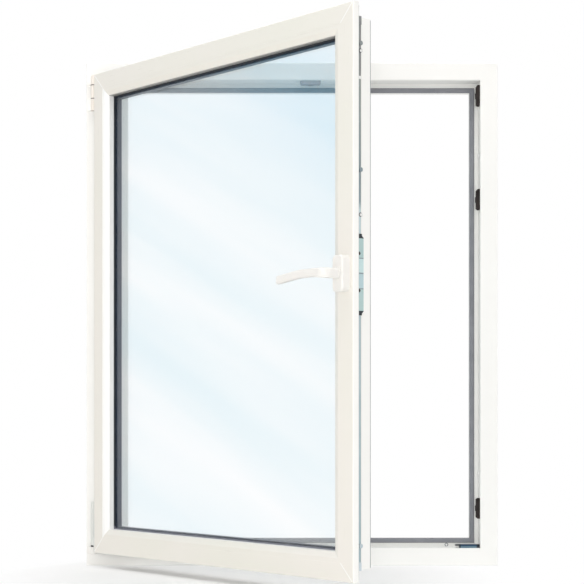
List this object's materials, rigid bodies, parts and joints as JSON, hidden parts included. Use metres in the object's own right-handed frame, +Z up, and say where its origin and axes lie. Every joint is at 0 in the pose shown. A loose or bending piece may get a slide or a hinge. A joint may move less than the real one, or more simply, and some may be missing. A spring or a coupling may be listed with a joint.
{
  "type": "tilt and turn window",
  "caption": "White plastic window whose glazed leaf turns inwards on side hinges or tilts in at the top, worked by one handle.",
  "frame": {"origin": "middle of the face that the frame's sill stands on", "axes": "+X right along the wall seen from the room, +Y outdoors, +Z up"},
  "size_m": [0.9, 0.758, 1.1],
  "materials": {
    "frame_white": "smooth white window plastic",
    "leaf_white": "smooth white window plastic",
    "bead_white": "smooth white window plastic",
    "glass": "clear double glazing",
    "seal_grey": "matt grey rubber",
    "seal_black": "matt black rubber",
    "spacer_metal": "satin grey metal",
    "fitting_steel": "bright plated steel",
    "keep_dark": "dark coated metal",
    "tilt_keep_steel": "dark plated steel",
    "hinge_white": "white coated metal",
    "handle_white": "white coated metal",
    "cap_white": "plain white plastic"
  },
  "bodies": {
    "frame": {"frame_head": "frame_white", "frame_sill": "frame_white", "frame_hinge_jamb": "frame_white", "frame_lock_jamb": "frame_white", "frame_gasket": "seal_grey", "fixing_caps": "cap_white", "keep_upper": "keep_dark", "keep_middle": "keep_dark", "keep_lower": "keep_dark", "keep_head": "keep_dark", "tilt_keep": "tilt_keep_steel", "upper_hinge_bracket": "hinge_white", "upper_hinge_pin": "fitting_steel", "lower_hinge_bracket": "hinge_white"},
    "pivot": {"lower_hinge_barrel": "hinge_white"},
    "leaf": {"sash_top_rail": "leaf_white", "sash_bottom_rail": "leaf_white", "sash_hinge_stile": "leaf_white", "sash_lock_stile": "leaf_white", "glazing_bead_top": "bead_white", "glazing_bead_bottom": "bead_white", "glazing_bead_hinge": "bead_white", "glazing_bead_lock": "bead_white", "sash_gasket": "seal_grey", "inner_glazing_gasket": "seal_black", "outer_glazing_gasket": "seal_grey", "pane_spacer": "spacer_metal", "inner_pane": "glass", "outer_pane": "glass", "lower_hinge_leaf_plate": "fitting_steel", "lock_faceplate": "fitting_steel", "top_faceplate": "fitting_steel", "gear_plate": "fitting_steel", "corner_drive_top": "fitting_steel", "corner_drive_bottom": "fitting_steel", "handle_rosette": "handle_white"},
    "stay": {"stay_arm": "fitting_steel"},
    "handle": {"handle_lever": "handle_white"},
    "lock_drive": {"lock_rod": "fitting_steel"},
    "top_drive": {"top_rod": "fitting_steel"}
  },
  "joints": [
    {"name": "turn", "type": "hinge", "parent": "frame", "child": "pivot", "pos_m": [-0.4325, -0.046, 0.09], "axis": [0, 0, -1], "range_deg": [-50, 40]},
    {"name": "tilt", "type": "hinge", "parent": "pivot", "child": "leaf", "pos_m": [-0.4325, -0.046, 0.036], "axis": [-0.6428, 0.766, 0], "range_deg": [-9, 0]},
    {"name": "stay_swing", "type": "hinge", "parent": "pivot", "child": "stay", "pos_m": [-0.4325, -0.046, 1.0345], "axis": [0, 0, -1], "range_deg": [0, 27]},
    {"name": "handle_turn", "type": "hinge", "parent": "leaf", "child": "handle", "pos_m": [0.08039, -0.69847, 0.584], "axis": [-0.766, -0.6428, 0], "range_deg": [-90, 90]},
    {"name": "lock_slide", "type": "slide", "parent": "leaf", "child": "lock_drive", "axis": [0, 0, 1], "range_m": [-0.0201, 0.0201]},
    {"name": "top_slide", "type": "slide", "parent": "leaf", "child": "top_drive", "axis": [-0.6428, 0.766, 0], "range_m": [-0.0201, 0.0201]}
  ],
  "couplings": [
    {"joint": "stay_swing", "follows": "tilt", "ratio": -2.94},
    {"joint": "lock_slide", "follows": "handle_turn", "m_per_rad": 0.012732},
    {"joint": "top_slide", "follows": "handle_turn", "m_per_rad": 0.012732}
  ]
}
